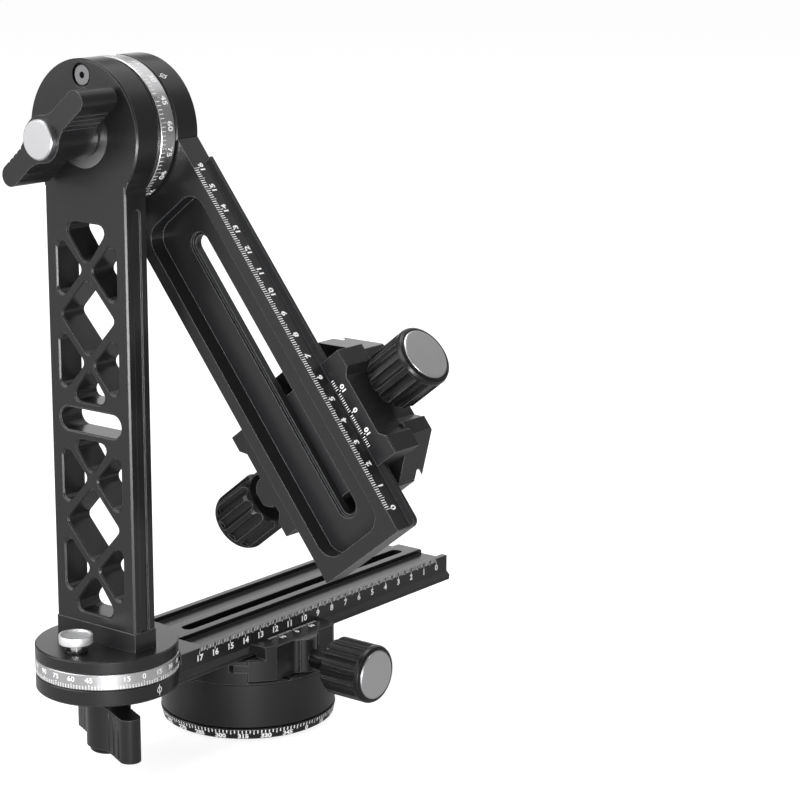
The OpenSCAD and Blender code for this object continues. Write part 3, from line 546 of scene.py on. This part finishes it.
def grip_ribs(name, wing_place, body):
    """Ribs for both arms of one wing, whose own axis is the place's Z axis."""
    parts = []
    for turn in (0, 180):
        arm_place = wing_place @ Matrix.Rotation(math.radians(turn), 4, "Z")
        for reach in RIB_REACHES:
            bpy.ops.object.select_all(action="DESELECT")
            bpy.ops.mesh.primitive_cylinder_add(vertices=16, radius=RIB_R, depth=RIB_LONG)
            rib = bpy.context.active_object
            ends = rib.modifiers.new("ends", "BEVEL")
            ends.width, ends.segments, ends.limit_method = 0.3 * MM, 2, "ANGLE"
            ends.angle_limit = math.radians(40)
            bpy.ops.object.modifier_apply(modifier="ends")
            bpy.ops.object.shade_smooth_by_angle(angle=math.radians(35))
            spot = Matrix.Translation((-reach, FLANK_Y, RIB_START + RIB_LONG / 2))
            parts.append(apply_place(rib, arm_place @ spot))
    marks(name, parts, BLACK, body)


LOWER_WING_TURN = math.radians(65.5)
UPPER_WING_TURN = math.radians(-49.2)
under_disc = (Matrix.Translation((DISC_X, 0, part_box("lower_wing")[1][2]))
              @ Matrix.Rotation(LOWER_WING_TURN, 4, "Z") @ Matrix.Rotation(math.pi, 4, "X"))
grip_ribs("lower_wing_ribs", under_disc, "lower_wing_body")
beside_post = (Matrix.Translation((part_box("upper_wing")[1][0], 0, PIVOT.z))
               @ Matrix.Rotation(math.radians(-90), 4, "Y")
               @ Matrix.Rotation(UPPER_WING_TURN, 4, "Z"))
grip_ribs("upper_wing_ribs", beside_post, "upper_wing_body")


# The photograph's camera: its place, direction and focal length were fitted together to
# the rulers' ticks, the straight edges and the round rims.
def camera():
    data = bpy.data.cameras.new("camera")
    data.lens = 110.06
    data.sensor_width = 36.0
    made = bpy.data.objects.new("camera", data)
    bpy.context.collection.objects.link(made)
    heading, pitch, roll = math.radians(52.14), math.radians(13.12), math.radians(0.15)
    ahead = Vector((math.sin(heading) * math.cos(pitch), math.cos(heading) * math.cos(pitch),
                    -math.sin(pitch)))
    right = ahead.cross(Vector((0, 0, 1))).normalized()
    up = right.cross(ahead)
    right, up = (math.cos(roll) * right + math.sin(roll) * up,
                 math.cos(roll) * up - math.sin(roll) * right)
    turn = Matrix((right, up, -ahead)).transposed().to_4x4()
    made.matrix_world = Matrix.Translation(Vector((-798.57, -708.81, 395.06)) * MM) @ turn
    data.clip_start, data.clip_end = 0.05, 20
    bpy.context.scene.camera = made


camera()


# Floor and backdrop: a wide pale plane under an even white surround. It reads white to the
# lens, takes the object's soft shadow and shows only faintly in the black metal.
def floor():
    bpy.ops.object.select_all(action="DESELECT")
    bpy.ops.mesh.primitive_plane_add(size=24, location=(0, 0, -0.5 * MM))
    made = bpy.context.active_object
    made.name = "floor"
    material, tree, shader = finish_of("floor_white", (0.33, 0.33, 0.33), 0.9, 0.0)
    path = tree.nodes.new("ShaderNodeLightPath")
    lens = Wire(tree, path.outputs["Is Camera Ray"])
    gloss = Wire(tree, path.outputs["Is Glossy Ray"])
    shader.inputs["Emission Color"].default_value = (1, 1, 1, 1)
    tree.links.new(((lens + 0.15 * gloss) * 0.86).socket, shader.inputs["Emission Strength"])
    made.data.materials.append(material)


def world():
    """The surround: full white to the lens, and weaker as light on the object."""
    made = bpy.data.worlds.new("studio")
    bpy.context.scene.world = made
    made.use_nodes = True
    tree = made.node_tree
    back = tree.nodes["Background"]
    path = tree.nodes.new("ShaderNodeLightPath")
    lens = Wire(tree, path.outputs["Is Camera Ray"])
    gloss = Wire(tree, path.outputs["Is Glossy Ray"])
    tree.links.new((0.3 + lens * 0.7 - gloss * 0.05).socket, back.inputs["Strength"])
    back.inputs["Color"].default_value = (1, 1, 1, 1)


floor()
world()


# Lights: five flat softboxes. A large one on the left and one overhead do the most, a
# small low one lights the front, and two more lift the right side and the back.
def softbox(name, place, aim, size, power):
    data = bpy.data.lights.new(name, "AREA")
    data.shape = "RECTANGLE"
    data.size, data.size_y = size
    data.energy = power
    made = bpy.data.objects.new(name, data)
    bpy.context.collection.objects.link(made)
    made.location = place
    made.rotation_euler = (Vector(aim) - Vector(place)).to_track_quat("-Z", "Y").to_euler()


softbox("left", (-1.7, 0.75, 0.95), aim=(0, 0, 0.12), size=(2.2, 1.7), power=40)
softbox("top", (0.1, 0.3, 1.9), aim=(0, 0, 0.1), size=(1.5, 1.2), power=26)
softbox("low_front", (-0.60, -0.55, 0.06), aim=(-0.08, -0.03, 0.08), size=(0.32, 0.1), power=5.0)
softbox("high_right", (1.5, 0.1, 1.35), aim=(0, 0, 0.2), size=(1.6, 1.2), power=5.0)
softbox("back_card", (1.57, 1.23, 0.55), aim=(0, 0, 0.1), size=(1.6, 0.7), power=5.0)
bpy.context.scene.view_settings.view_transform = "Standard"
